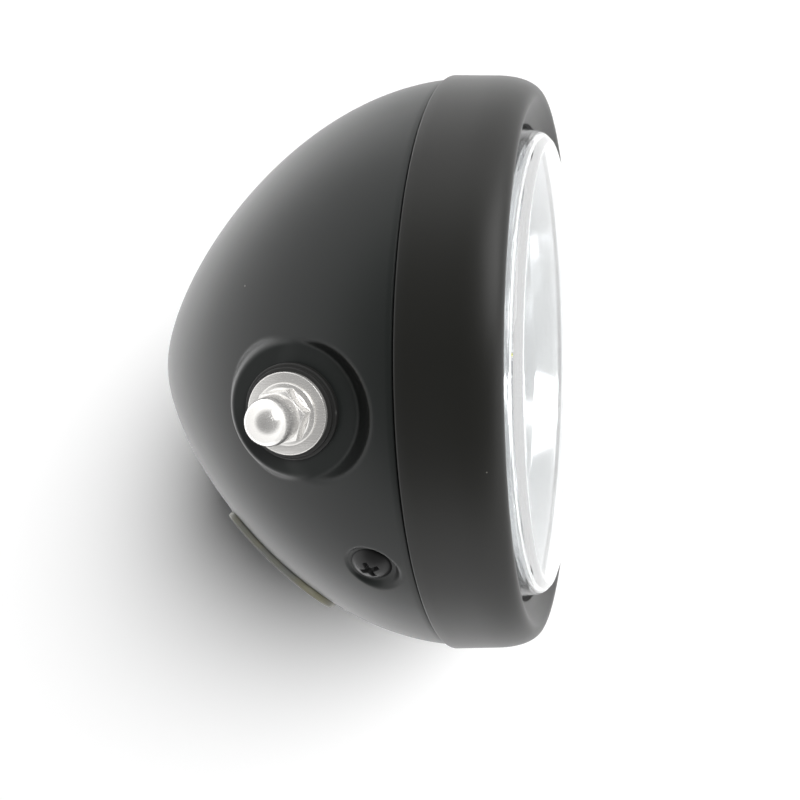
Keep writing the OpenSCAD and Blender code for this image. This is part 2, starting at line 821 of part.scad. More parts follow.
module vent_plug() {
    color("#3c3c3e") forward() translate([vent_x, 0, cup_back_z - cover_t]) {
        translate([0, 0, -vent_head_h]) cylinder(r = vent_head_r, h = vent_head_h);
        cylinder(r = vent_r, h = cover_t);
    }
}

bucket_shell();
slot_trim();
trim_ring();
rim_lugs();
lug_nuts();
rim_screws();
side_bolts();
side_washers();
side_bushes();
side_weld_nuts();
lens();
lens_seal();
reflector();
unit_gasket();
retaining_ring();
retaining_clips();
led_post();
led_board_upper();
led_board_lower();
led_chips();
glare_cap();
heat_sink();
neck_gasket();
heat_sink_screws();
driver_board();
driver_cover();
cover_screws();
inlet_socket();
inlet_blades();
vent_plug();
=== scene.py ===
"""Looks of the LED headlight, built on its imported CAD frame.

Sizes are in millimetres and turned into metres where a mesh is made. A profile is a list of
(radius, ahead) points, where ahead is the distance in front of the side-bolt axis, so it runs
towards -Y. Shapes on the sides are drawn as (radius, out), where out is the distance from the
lamp's own axis.
"""

import math

import bpy
import numpy as np
from mathutils import Matrix, Vector


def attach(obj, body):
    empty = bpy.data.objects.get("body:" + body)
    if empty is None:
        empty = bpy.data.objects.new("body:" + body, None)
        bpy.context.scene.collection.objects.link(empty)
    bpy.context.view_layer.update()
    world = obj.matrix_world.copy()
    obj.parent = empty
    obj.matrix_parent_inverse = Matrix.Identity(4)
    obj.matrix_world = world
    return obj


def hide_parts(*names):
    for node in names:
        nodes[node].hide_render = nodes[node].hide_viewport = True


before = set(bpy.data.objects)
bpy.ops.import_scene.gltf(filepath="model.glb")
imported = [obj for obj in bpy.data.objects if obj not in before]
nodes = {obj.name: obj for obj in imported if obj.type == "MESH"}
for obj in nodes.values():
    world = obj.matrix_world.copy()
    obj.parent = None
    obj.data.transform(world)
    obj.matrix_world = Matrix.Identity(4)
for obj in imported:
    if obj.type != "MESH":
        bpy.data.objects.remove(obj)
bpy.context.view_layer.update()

MM = 0.001

# Trim ring
SEAM = 30.0
RIM_R, RIM_DEPTH, RIM_LEAN, RIM_ROUND_W, RIM_ROUND_L, RIM_WALL = 95.9, 26.2, 1.2, 6.8, 15.8, 1.4
BEVEL_TURN = math.radians(105)
RIM_ARC_R = RIM_R - RIM_LEAN - RIM_ROUND_W
RIM_ARC_AHEAD = SEAM + RIM_DEPTH - RIM_ROUND_L

# Bucket
BOWL_R, BOWL_DEPTH, BOWL_WALL = RIM_R - 1.1, 118.0, 1.4
SIDE_REACH, NOSE_REACH, BOWL_LEAN, INSET_SHARE = 62.0, 17.5, 1.0, 0.4
SEAM_GAP = 0.14
SEAM_ROUND = 0.7
SEAM_FLANGE = 3.6

# Pads on the sides
PAD_X, PAD_R, PAD_FLARE, PAD_RISE, PAD_DROP = BOWL_R - 6.8, 17.5, 6.5, 7.5, 13.0
PAD_SOFT = 1.3
PAD_POWER = 1.5

# Rim screws and their seats
SCREW_ANGLE, SCREW_BACK, SEAT_X = math.radians(28.6), 12.9, BOWL_R - 2.8
SEAT_R, SEAT_SLOPE, SEAT_SOFT = 6.9, 1.5, 0.5
HEAD_R, HEAD_H, CROSS_R, CROSS_W, CROSS_DEEP = 5.8, 2.6, 2.7, 0.65, 1.7

# Cable slot
SLOT_LEN, SLOT_W, SLOT_BACK, SLOT_X = 42.0, 14.0, 59.0, 43.0
TRIM_LIP, TRIM_OUT, TRIM_IN, TRIM_NECK = 2.4, 2.2, 1.2, 1.2

# Lens
LENS_R = RIM_R - 17.5
LENS_FLANGE_R, LENS_WALL, LENS_CORNER_R, LENS_RISE = LENS_R + 6.2, 3.0, 4.2, 11.0
LENS_DRAFT, LENS_FLANGE_T, LENS_SIDE_H, SEAL_T = 1.2, 3.0, 11.4, 3.0
RIM_OPEN_R = LENS_R + 1.0

# Reflector
FOCAL, NECK_R = 27.0, 20.0
COLLAR_R = LENS_R - LENS_DRAFT - LENS_WALL - 0.6
BOWL_FRONT_R = COLLAR_R - 1.6
COLLAR_H, COLLAR_FLARE = 9.0, 0.5

# Side bolts
WASHER_IN, WASHER_R, WASHER_T = PAD_X + 3.2, 11.0, 1.6
BUSH_R, BUSH_T, BUSH_STEP_R = 13.0, 2.2, 12.0
BOLT_R, BOLT_AF, BOLT_FLANGE_R, BOLT_HEAD_H, HEX_H, DOME_R = 4.0, 13.0, 8.4, 16.2, 5.6, 6.3
BOLT_TAPER = 0.1
HEAD_X = WASHER_IN + WASHER_T


# Meshes

def piece(name, verts, faces, material, stands_for=(), sharp=30):
    """One mesh of the lamp, from points in millimetres. It rides on the only body."""
    mesh = bpy.data.meshes.new(name)
    mesh.from_pydata([tuple(v) for v in np.asarray(verts) * MM], [], [list(f) for f in faces])
    mesh.validate()
    mesh.polygons.foreach_set("use_smooth", [True] * len(mesh.polygons))
    mesh.set_sharp_from_angle(angle=math.radians(sharp))
    mesh.materials.append(material)
    made = bpy.data.objects.new(name, mesh)
    bpy.context.scene.collection.objects.link(made)
    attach(made, "root")
    if stands_for:
        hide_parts(*stands_for)
    return made


def arc(cx, cy, r, a0, a1, n):
    """Points of an arc round (cx, cy); angles in radians."""
    return [(cx + r * math.cos(a0 + (a1 - a0) * i / n), cy + r * math.sin(a0 + (a1 - a0) * i / n))
            for i in range(n + 1)]


def densify(profile, step):
    """The same outline with more points on its long straight parts."""
    out = [profile[0]]
    for (r0, h0), (r1, h1) in zip(profile, profile[1:]):
        n = max(1, int(math.hypot(r1 - r0, h1 - h0) / step))
        out += [(r0 + (r1 - r0) * k / n, h0 + (h1 - h0) * k / n) for k in range(1, n + 1)]
    return out


def bands(pairs, steps):
    """The faces between pairs of rings of vertices. A ring with one vertex is a pole."""
    faces = []
    for low, high in pairs:
        for k in range(steps):
            n = (k + 1) % steps
            corners = [low[k % len(low)], low[n % len(low)], high[n % len(high)], high[k % len(high)]]
            corners = list(dict.fromkeys(corners))
            if len(corners) > 2:
                faces.append(corners)
    return faces


def spin(profile, steps, place, closed=False):
    """Vertices and faces of a profile turned once round an axis. place(r, h, a) gives a point.
    A point with no radius at either end of an open profile becomes one pole."""
    verts, rings = [], []
    for r, h in profile:
        if r < 1e-6:
            rings.append([len(verts)])
            verts.append(place(0, h, 0))
        else:
            rings.append(list(range(len(verts), len(verts) + steps)))
            verts += [place(r, h, 2 * math.pi * k / steps) for k in range(steps)]
    pairs = list(zip(rings, rings[1:])) + ([(rings[-1], rings[0])] if closed else [])
    return verts, bands(pairs, steps)


def round_lamp(r, ahead, a):
    """A point round the lamp's own axis."""
    return (r * math.cos(a), -ahead, r * math.sin(a))


def round_bolt(side):
    """Places points round the side-bolt axis, on the side given by its sign."""
    return lambda r, out, a: (side * out, r * math.cos(a) * side, r * math.sin(a))


def turned(faces):
    """The same faces seen from their other side, so that they point out of the solid."""
    return [face[::-1] for face in faces]


def joined(*parts):
    """Several (vertices, faces) pairs as one."""
    verts, faces = [], []
    for v, f in parts:
        base = len(verts)
        verts += list(v)
        faces += [[i + base for i in face] for face in f]
    return verts, faces


def smaller(a, b, soft):
    """The lower of two heights, with a rounded crossing."""
    h = np.clip(0.5 + (b - a) / (2 * soft), 0, 1)
    return b + (a - b) * h - soft * h * (1 - h)


def larger(a, b, soft):
    return -smaller(-a, -b, soft)


# Bucket outline

def bowl_point(u, inset=0.0):
    """(radius, distance behind the seam) of the bucket at step u, set in from the outside."""
    v = 1 - u
    r, d = BOWL_R - inset, BOWL_DEPTH - inset
    side, nose = SIDE_REACH - inset * INSET_SHARE, NOSE_REACH - inset * INSET_SHARE
    return (r * v ** 3 + 3 * (r + BOWL_LEAN) * v * v * u + 3 * nose * v * u * u,
            3 * side * v * v * u + 3 * d * v * u * u + d * u ** 3)


def bowl_table(inset=0.0):
    """Radius, distance behind the seam and run along the outline, at fine steps."""
    u = np.linspace(0, 1, 4001)
    r, back = bowl_point(u, inset)
    run = np.concatenate([[0], np.cumsum(np.hypot(np.diff(r), np.diff(back)))])
    return r, back, run


def spread(density, low, high, count):
    """count places from low to high, closer together where density(x) is higher."""
    x = np.linspace(low, high, 20001)
    total = np.concatenate([[0], np.cumsum((density(x[1:]) + density(x[:-1])) / 2)])
    return np.interp(np.linspace(0, total[-1], count), total, x)


def bump_of(x, middle, half, edge):
    """1 inside middle +- half, falling to 0 over edge."""
    return 1 / (1 + np.exp((np.abs(x - middle) - half) / edge * 4))


def pressed(points, inset):
    """The bucket's points with its pads and screw seats pressed in."""
    x, y, z = points.T
    side, reach = np.sign(x), np.abs(x)
    rho = np.hypot(y, z)
    flat = PAD_R + inset * 0.8
    step = np.clip((rho - flat) / PAD_FLARE, 0, 1)
    recess = np.where(rho < flat + PAD_FLARE, PAD_X - inset + PAD_RISE * step ** PAD_POWER, 1e3)
    step = np.clip((rho - PAD_R + inset * 0.8) / PAD_FLARE, 0, 1)
    boss = np.where(rho < PAD_R + PAD_FLARE, PAD_X - inset - PAD_DROP * step ** PAD_POWER, -1e3)
    reach = np.where(reach > 30, larger(smaller(reach, recess, PAD_SOFT), boss, PAD_SOFT), reach)
    points = np.column_stack([side * reach, y, z])
    for s in (-1, 1):
        line = np.array([s * math.cos(SCREW_ANGLE), 0, -math.sin(SCREW_ANGLE)])
        start = np.array([0, SCREW_BACK - SEAM, 0])
        along = (points - start) @ line
        off = np.linalg.norm(points - start - along[:, None] * line, axis=1)
        seat = SEAT_X - inset + np.maximum(0, off - SEAT_R) * SEAT_SLOPE
        near = (along > 60) & (off < SEAT_R + 6)
        lower = smaller(along, seat, SEAT_SOFT) - along
        points = points + np.where(near, lower, 0)[:, None] * line
    return points


def slot_frame():
    """The place and the axes of the cable slot: across, along and out of the bucket."""
    r, back, _ = bowl_table()
    k = np.searchsorted(back, SLOT_BACK)
    radius = r[k]
    lean = math.asin(SLOT_X / radius)
    tilt = math.atan2(r[k] - r[k + 1], back[k + 1] - back[k])
    swing = math.atan(math.sin(tilt) * math.tan(lean))
    turn = (Matrix.Rotation(math.pi + lean, 3, "Y") @ Matrix.Rotation(-swing, 3, "Z")
            @ Matrix.Rotation(-tilt, 3, "X"))
    place = Vector((-SLOT_X, SLOT_BACK - SEAM, -math.sqrt(radius ** 2 - SLOT_X ** 2)))
    return np.array(place), np.array(turn)


SLOT_PLACE, SLOT_TURN = slot_frame()


def in_slot(points, grow=0.0):
    """Which points lie inside the slot's outline, made larger all round by grow."""
    local = (points - SLOT_PLACE) @ SLOT_TURN
    straight = (SLOT_LEN - SLOT_W) / 2
    off = np.hypot(local[:, 0], np.maximum(0, np.abs(local[:, 1]) - straight))
    return (off < SLOT_W / 2 + grow) & (np.abs(local[:, 2]) < 14)


def bucket_grid(inset, columns, rows, edge):
    """The bucket's skin as a grid over angle and run, with the slot left out.
    edge is the start of the skin at the seam: points of (radius, behind) that come first."""
    r, back, run = bowl_table(inset)
    rows_r, rows_b = np.interp(rows, run, r), np.interp(rows, run, back)
    rows_r = np.concatenate([[p[0] for p in edge], rows_r])
    rows_b = np.concatenate([[p[1] for p in edge], rows_b])
    rows_r = np.maximum(rows_r, 0)
    grid = [np.column_stack([np.cos(columns) * rr, np.full(len(columns), bb - SEAM),
                             np.sin(columns) * rr]) for rr, bb in zip(rows_r[:-1], rows_b[:-1])]
    points = pressed(np.concatenate(grid), inset)
    points = np.vstack([points, [[0, rows_b[-1] - SEAM, 0]]])
    n, last = len(columns), len(points) - 1
    k = np.arange(n)
    faces = []
    for j in range(len(rows_r) - 2):
        a, b = j * n + k, j * n + (k + 1) % n
        faces.append(np.column_stack([a, b, b + n, a + n]))
    quads = np.concatenate(faces)
    middle = points[quads].mean(axis=1)
    quads = quads[~in_slot(middle)]
    top = (len(rows_r) - 2) * n
    tip = [(top + i, top + (i + 1) % n, last) for i in range(n)]
    return points, [tuple(q) for q in quads] + tip


# Shader groups

def new_group(name, inputs, outputs):
    """An empty node group with named sockets: (name, kind, default)."""
    group = bpy.data.node_groups.new(name, "ShaderNodeTree")
    for label, kind, default in inputs:
        socket = group.interface.new_socket(label, in_out="INPUT", socket_type="NodeSocket" + kind)
        socket.default_value = default
    for label, kind in outputs:
        group.interface.new_socket(label, in_out="OUTPUT", socket_type="NodeSocket" + kind)
    return group, group.nodes.new("NodeGroupInput"), group.nodes.new("NodeGroupOutput")


def add(tree, kind, values=None, **settings):
    """A node with its settings and the values of its inputs."""
    made = tree.nodes.new("ShaderNode" + kind)
    for key, value in settings.items():
        setattr(made, key, value)
    for key, value in (values or {}).items():
        made.inputs[key].default_value = value
    return made


def ramp(tree, source, stops):
    """A colour ramp over grey levels: (position, level)."""
    made = add(tree, "ValToRGB")
    elements = made.color_ramp.elements
    while len(elements) < len(stops):
        elements.new(0.5)
    for element, (position, level) in zip(elements, stops):
        element.position = position
        element.color = (level, level, level, 1)
    tree.links.new(source, made.inputs["Fac"])
    return made.outputs["Color"]


def grain_group():
    """Fine powder-coat or moulding grain: a height for a bump and a slow drift of tone."""
    group, given, out = new_group(
        "surface_grain",
        [("Size per metre", "Float", 2500.0), ("Drift per metre", "Float", 14.0)],
        [("Height", "Float"), ("Drift", "Float")])
    where = add(group, "TexCoord")
    fine = add(group, "TexNoise", {"Detail": 3.0, "Roughness": 0.55})
    slow = add(group, "TexNoise", {"Detail": 2.0, "Roughness": 0.5})
    group.links.new(where.outputs["Object"], fine.inputs["Vector"])
    group.links.new(where.outputs["Object"], slow.inputs["Vector"])
    group.links.new(given.outputs["Size per metre"], fine.inputs["Scale"])
    group.links.new(given.outputs["Drift per metre"], slow.inputs["Scale"])
    group.links.new(fine.outputs["Fac"], out.inputs["Height"])
    group.links.new(slow.outputs["Fac"], out.inputs["Drift"])
    return group


def speck_group():
    """Sparse dust specks as a mask."""
    group, given, out = new_group(
        "dust_specks",
        [("Cells per metre", "Float", 110.0), ("Speck size", "Float", 0.035)],
        [("Mask", "Float")])
    where = add(group, "TexCoord")
    cells = add(group, "TexVoronoi", feature="F1")
    group.links.new(where.outputs["Object"], cells.inputs["Vector"])
    group.links.new(given.outputs["Cells per metre"], cells.inputs["Scale"])
    near = add(group, "Math", operation="LESS_THAN")
    group.links.new(cells.outputs["Distance"], near.inputs[0])
    group.links.new(given.outputs["Speck size"], near.inputs[1])
    chosen = add(group, "SeparateColor")
    group.links.new(cells.outputs["Color"], chosen.inputs["Color"])
    rare = add(group, "Math", {1: 0.9}, operation="GREATER_THAN")
    group.links.new(chosen.outputs["Red"], rare.inputs[0])
    both = add(group, "Math", operation="MULTIPLY")
    group.links.new(near.outputs["Value"], both.inputs[0])
    group.links.new(rare.outputs["Value"], both.inputs[1])
    group.links.new(both.outputs["Value"], out.inputs["Mask"])
    return group


def scratch_group():
    """Hairline scratches in all directions, as a height and a mask."""
    group, given, out = new_group(
        "hairline_scratches",
        [("Lines per metre", "Float", 900.0), ("Amount", "Float", 0.5)],
        [("Height", "Float"), ("Mask", "Float")])
    where = add(group, "TexCoord")
    total = None
    for turn in (0.3, 1.4, 2.3):
        spun = add(group, "Mapping", {"Rotation": (turn, turn * 0.7, turn * 1.9),
                                      "Scale": (1.0, 0.04, 1.0)})
        line = add(group, "TexNoise", {"Detail": 1.0, "Distortion": 0.3})
        group.links.new(where.outputs["Object"], spun.inputs["Vector"])
        group.links.new(spun.outputs["Vector"], line.inputs["Vector"])
        group.links.new(given.outputs["Lines per metre"], line.inputs["Scale"])
        thin = ramp(group, line.outputs["Fac"], [(0.0, 0.0), (0.495, 0.0), (0.5, 1.0), (0.505, 0.0)])
        if total is None:
            total = thin
        else:
            more = add(group, "Math", operation="MAXIMUM")
            group.links.new(total, more.inputs[0])
            group.links.new(thin, more.inputs[1])
            total = more.outputs["Value"]
    part = add(group, "Math", operation="MULTIPLY")
    group.links.new(total, part.inputs[0])
    group.links.new(given.outputs["Amount"], part.inputs[1])
    group.links.new(part.outputs["Value"], out.inputs["Height"])
    group.links.new(part.outputs["Value"], out.inputs["Mask"])
    return group


def edge_group():
    """How strongly a point lies on an outside edge, from the spread of nearby normals."""
    group, given, out = new_group(
        "edge_wear",
        [("Low", "Float", 0.55), ("High", "Float", 0.7)],
        [("Mask", "Float")])
    shape = add(group, "NewGeometry")
    span = add(group, "MapRange")
    group.links.new(shape.outputs["Pointiness"], span.inputs["Value"])
    group.links.new(given.outputs["Low"], span.inputs["From Min"])
    group.links.new(given.outputs["High"], span.inputs["From Max"])
    group.links.new(span.outputs["Result"], out.inputs["Mask"])
    return group


GRAIN, SPECKS, SCRATCHES, EDGES = grain_group(), speck_group(), scratch_group(), edge_group()


# Materials

def material(name):
    """A new node material and its Principled shader."""
    made = bpy.data.materials.new(name)
    made.use_nodes = True
    return made, made.node_tree, made.node_tree.nodes["Principled BSDF"]


def use(tree, group, values=None):
    """A group node with the values of its inputs."""
    made = tree.nodes.new("ShaderNodeGroup")
    made.node_tree = group
    for key, value in (values or {}).items():
        made.inputs[key].default_value = value
    return made


def mix_colour(tree, factor, low, high):
    """A colour between two colours or sockets, by a factor socket."""
    made = add(tree, "Mix", data_type="RGBA")
    tree.links.new(factor, made.inputs["Factor"])
    for slot, value in (("A", low), ("B", high)):
        socket = [s for s in made.inputs if s.name == slot and s.type == "RGBA"][0]
        if isinstance(value, bpy.types.NodeSocket):
            tree.links.new(value, socket)
        else:
            socket.default_value = (*value, 1)
    return [s for s in made.outputs if s.type == "RGBA"][0]


def between(tree, factor, low, high):
    """A number between low and high, by a factor socket from 0 to 1."""
    made = add(tree, "MapRange", {"To Min": low, "To Max": high})
    tree.links.new(factor, made.inputs["Value"])
    return made.outputs["Result"]


def bump(tree, shader, height, depth, rounding=0.0):
    """A bump of the given depth in millimetres, over edges rounded by the given radius."""
    made = add(tree, "Bump", {"Strength": 1.0, "Distance": depth * MM})
    tree.links.new(height, made.inputs["Height"])
    if rounding:
        soft = add(tree, "Bevel", {"Radius": rounding * MM}, samples=6)
        tree.links.new(soft.outputs["Normal"], made.inputs["Normal"])
    tree.links.new(made.outputs["Normal"], shader.inputs["Normal"])


def paint(name, dark, light, roughness, grain=0.012):
    """Satin black powder coat: fine grain, a slow drift of tone and a few specks of dust."""
    made, tree, shader = material(name)
    grained = use(tree, GRAIN, {"Size per metre": 2600.0, "Drift per metre": 16.0})
    tone = mix_colour(tree, grained.outputs["Drift"], dark, light)
    specks = use(tree, SPECKS)
    tone = mix_colour(tree, specks.outputs["Mask"], tone, (0.25, 0.24, 0.22))
    tree.links.new(tone, shader.inputs["Base Color"])
    tree.links.new(between(tree, grained.outputs["Drift"], *roughness), shader.inputs["Roughness"])
    shader.inputs["Specular IOR Level"].default_value = 0.4
    bump(tree, shader, grained.outputs["Height"], grain, rounding=0.25)
    return made


def bare_metal(name, colour, roughness, scratched=0.5, metal=1.0):
    """Metal with hairline scratches and cloudy gloss."""
    made, tree, shader = material(name)
    grained = use(tree, GRAIN, {"Size per metre": 900.0, "Drift per metre": 120.0})
    lines = use(tree, SCRATCHES, {"Amount": scratched})
    shade = tuple(c * 0.86 for c in colour)
    tone = mix_colour(tree, grained.outputs["Drift"], shade, colour)
    tree.links.new(tone, shader.inputs["Base Color"])
    cloudy = between(tree, grained.outputs["Drift"], *roughness)
    rough = add(tree, "Math", operation="ADD")
    scaled = between(tree, lines.outputs["Mask"], 0.0, 0.25)
    tree.links.new(cloudy, rough.inputs[0])
    tree.links.new(scaled, rough.inputs[1])
    tree.links.new(rough.outputs["Value"], shader.inputs["Roughness"])
    shader.inputs["Metallic"].default_value = metal
    bump(tree, shader, lines.outputs["Height"], 0.004, rounding=0.3)
    return made


def moulded(name, dark, light, roughness):
    """Rubber, plastic or board with a fine grain and a slow drift of tone."""
    made, tree, shader = material(name)
    grained = use(tree, GRAIN, {"Size per metre": 1800.0, "Drift per metre": 60.0})
    tone = mix_colour(tree, grained.outputs["Drift"], dark, light)
    edge = use(tree, EDGES)
    worn = tuple(min(1, c * 1.6 + 0.02) for c in light)
    tone = mix_colour(tree, edge.outputs["Mask"], tone, worn)
    tree.links.new(tone, shader.inputs["Base Color"])
    tree.links.new(between(tree, grained.outputs["Drift"], *roughness), shader.inputs["Roughness"])
    bump(tree, shader, grained.outputs["Height"], 0.01, rounding=0.25)
    return made


# Light that runs round inside the lens wall comes out bright. The render gives it up after a
# few turns, so the lens adds this much light to a path that is still inside after so many.
TRAPPED_DEPTH, TRAPPED_LIGHT = 5, 0.7


def clear_lens():
    """Clear hard-coated plastic that light passes through, with a painted glow on paths that reach
    TRAPPED_DEPTH bounces.
    """
    made, tree, shader = material("clear_lens")
    grained = use(tree, GRAIN, {"Size per metre": 300.0, "Drift per metre": 25.0})
    tone = mix_colour(tree, grained.outputs["Drift"], (0.94, 0.955, 0.96), (0.97, 0.98, 0.985))
    tree.links.new(tone, shader.inputs["Base Color"])
    tree.links.new(between(tree, grained.outputs["Drift"], 0.0, 0.03), shader.inputs["Roughness"])
    shader.inputs["Transmission Weight"].default_value = 1.0
    shader.inputs["IOR"].default_value = 1.49
    path = add(tree, "LightPath")
    trapped = add(tree, "Math", {1: TRAPPED_DEPTH, 2: 0.5}, operation="COMPARE")
    tree.links.new(path.outputs["Ray Depth"], trapped.inputs[0])
    # Painted light: the lens glows on paths that reach TRAPPED_DEPTH bounces
    glow = mix_colour(tree, trapped.outputs["Value"], (0, 0, 0), (TRAPPED_LIGHT,) * 3)
    tree.links.new(glow, shader.inputs["Emission Color"])
    shader.inputs["Emission Strength"].default_value = 1.0
    return made


def edge_trim():
    """Translucent soft plastic, grey with yellowed patches spread at random."""
    made, tree, shader = material("clear_yellow_trim")
    grained = use(tree, GRAIN, {"Size per metre": 500.0, "Drift per metre": 45.0})
    patches = ramp(tree, grained.outputs["Drift"], [(0.35, 0.0), (0.65, 1.0)])
    tone = mix_colour(tree, patches, (0.21, 0.215, 0.2), (0.3, 0.27, 0.13))
    tree.links.new(tone, shader.inputs["Base Color"])
    tree.links.new(between(tree, grained.outputs["Drift"], 0.25, 0.5), shader.inputs["Roughness"])
    shader.inputs["Transmission Weight"].default_value = 0.25
    bump(tree, shader, grained.outputs["Height"], 0.05)
    return made


SATIN = (0.34, 0.42)
SHELL_PAINT = paint("satin_black_paint", (0.008, 0.0092, 0.0088), (0.0112, 0.0124, 0.0118), SATIN)
RIM_PAINT = paint("satin_black_rim", (0.0076, 0.0076, 0.0068), (0.0104, 0.0104, 0.0094), SATIN)
SCREW_BLACK = paint("black_screw", (0.006, 0.006, 0.006), (0.012, 0.012, 0.012), (0.3, 0.42), 0.006)
POLISHED = bare_metal("polished_steel", (0.9, 0.885, 0.86), (0.13, 0.24), 0.7, metal=0.78)
ZINC = bare_metal("zinc_steel", (0.62, 0.63, 0.64), (0.25, 0.45), 0.5)
CAST = bare_metal("cast_aluminium", (0.66, 0.67, 0.68), (0.4, 0.6), 0.3)
BRASS = bare_metal("brass_blades", (0.75, 0.58, 0.28), (0.2, 0.35), 0.4)
MIRROR = bare_metal("bright_reflector", (0.62, 0.625, 0.63), (0.08, 0.14), 0.05)
RUBBER = moulded("black_rubber", (0.008, 0.008, 0.008), (0.016, 0.016, 0.015), (0.45, 0.6))
PLASTIC = moulded("black_plastic", (0.02, 0.02, 0.02), (0.035, 0.035, 0.034), (0.45, 0.6))
WHITE_BOARD = moulded("white_board", (0.75, 0.75, 0.72), (0.85, 0.85, 0.82), (0.35, 0.5))
GREEN_BOARD = moulded("green_board", (0.03, 0.13, 0.05), (0.05, 0.2, 0.08), (0.3, 0.45))
YELLOW_LED = moulded("yellow_led", (0.8, 0.55, 0.08), (0.9, 0.7, 0.15), (0.15, 0.3))
LENS = clear_lens()
SLOT_TRIM = edge_trim()

for name, finish in {
        "rim_lugs": ZINC, "lug_nuts": ZINC, "side_weld_nuts": ZINC, "lens_seal": RUBBER,
        "unit_gasket": RUBBER, "retaining_ring": ZINC, "retaining_clips": ZINC, "led_post": CAST,
        "led_board_upper": WHITE_BOARD, "led_board_lower": WHITE_BOARD, "led_chips": YELLOW_LED,
        "glare_cap": MIRROR, "heat_sink": CAST, "neck_gasket": RUBBER, "heat_sink_screws": ZINC,
        "driver_board": GREEN_BOARD, "driver_cover": PLASTIC, "cover_screws": ZINC,
        "inlet_socket": PLASTIC, "inlet_blades": BRASS, "vent_plug": PLASTIC}.items():
    nodes[name].data.materials.clear()
    nodes[name].data.materials.append(finish)


# Bucket, slot trim, trim ring, lens and reflector

def make_bucket():
    """The outer skin of the bucket, the seam edge and the skin inside."""
    def density(a):
        near_left = bump_of(a, math.pi, 0.34, 0.06)
        near_screw = bump_of(a, math.pi + SCREW_ANGLE, 0.09, 0.05)
        near_slot = bump_of(a, math.pi + 0.94, 0.2, 0.06)
        near_right = bump_of(a, 0, 0.34, 0.06) + bump_of(a, 2 * math.pi, 0.34, 0.06)
        near_right = near_right + bump_of(a, 2 * math.pi - SCREW_ANGLE, 0.09, 0.05)
        return 0.55 + 1.9 * np.clip(near_left + near_screw, 0, 1) + 0.5 * near_slot + near_right

    columns = spread(density, 0, 2 * math.pi, 521)[:-1]
    _, _, run = bowl_table()

    def row_density(s):
        return 0.35 + 1.5 * bump_of(s, 30, 26, 5) + 0.3 * bump_of(s, 75, 25, 8)

    rows = spread(row_density, 0.7, run[-1], 176)
    round_edge = [(BOWL_R - SEAM_FLANGE, SEAM_GAP + 3.5), (BOWL_R - 2.6, SEAM_GAP + 0.1)]
    round_edge += [(BOWL_R - SEAM_ROUND + SEAM_ROUND * math.sin(t),
                    SEAM_GAP + SEAM_ROUND - SEAM_ROUND * math.cos(t))
                   for t in np.linspace(0, math.pi / 2, 7)[:-1]]
    verts, faces = bucket_grid(0.0, columns, rows, round_edge)
    piece("bucket_outside", verts, turned(faces), SHELL_PAINT, ["bucket_shell"], 70)
    _, _, run_in = bowl_table(BOWL_WALL)
    inside_columns = np.linspace(0, 2 * math.pi, 241)[:-1]
    inside_rows = np.linspace(1, run_in[-1], 80)
    verts, faces = bucket_grid(BOWL_WALL, inside_columns, inside_rows, [])
    piece("bucket_inside", verts, faces, SHELL_PAINT, (), 70)


def make_slot_trim():
    """The edge trim round the slot: a rounded bead outside, a thin lip inside."""
    straight = (SLOT_LEN - SLOT_W) / 2
    loop = []
    for end, first in ((1, 0), (-1, math.pi)):
        loop += [(math.cos(first + t), math.sin(first + t), end * straight)
                 for t in np.linspace(0, math.pi, 33)]
    path = []
    for (c0, s0, m0), (c1, s1, m1) in zip(loop, loop[1:] + loop[:1]):
        count = 14 if m0 != m1 else 1
        path += [(c0 + (c1 - c0) * k / count, s0 + (s1 - s0) * k / count,
                  m0 + (m1 - m0) * k / count) for k in range(count)]
    lip, neck, top, low = TRIM_LIP, -TRIM_NECK, TRIM_OUT, -(BOWL_WALL + TRIM_IN)
    section = [(neck, low), (neck, top * 0.45)]
    section += [(neck + 0.9 - 0.9 * math.cos(t), top - 0.9 + 0.9 * math.sin(t))
                for t in np.linspace(0.1, math.pi / 2, 6)]
    section += [(lip - 0.8 + 0.8 * math.sin(t), top - 0.8 + 0.8 * math.cos(t))
                for t in np.linspace(0, math.pi / 2, 6)]
    section += [(lip, 0.0), (lip, -0.3), (lip, -BOWL_WALL + 0.2), (lip, low)]
    tables = {}

    def surface(across, along, height):
        """The point over the slot's plane at a height above the bucket, found step by step."""
        if height not in tables:
            tables[height] = bowl_table(-height)
        r, back, _ = tables[height]
        out = height
        for _ in range(12):
            point = SLOT_PLACE + SLOT_TURN @ np.array([across, along, out])
            off = math.hypot(point[0], point[2]) - np.interp(point[1] + SEAM, back, r)
            out -= off * 0.75
        return SLOT_PLACE + SLOT_TURN @ np.array([across, along, out])

    verts = [surface(c * (SLOT_W / 2 + o), m + s * (SLOT_W / 2 + o), h)
             for c, s, m in path for o, h in section]
    n, m = len(path), len(section)
    faces = [(i * m + j, i * m + (j + 1) % m, (i + 1) % n * m + (j + 1) % m, (i + 1) % n * m + j)
             for i in range(n) for j in range(m)]
    piece("slot_bead", verts, faces, SLOT_TRIM, ["slot_trim"], 50)


def rim_edge(turn, inset=0.0):
    """A point of the trim ring's oval front edge after a turn, set in from the outside."""
    return (RIM_ARC_R + (RIM_ROUND_W - inset) * math.cos(turn),
            RIM_ARC_AHEAD + (RIM_ROUND_L - inset) * math.sin(turn))


def bevel_end(inset):
    """Where the straight bevel behind the oval edge stops, at the trim ring's opening."""
    start = rim_edge(BEVEL_TURN, inset)
    inward, back = -RIM_ROUND_W * math.sin(BEVEL_TURN), RIM_ROUND_L * math.cos(BEVEL_TURN)
    run = (rim_edge(BEVEL_TURN)[0] - RIM_OPEN_R) / -inward
    return (start[0] + inward * run, start[1] + back * run)


LENS_FRONT = bevel_end(RIM_WALL)[1] - SEAL_T
LENS_BACK = LENS_FRONT - LENS_FLANGE_T


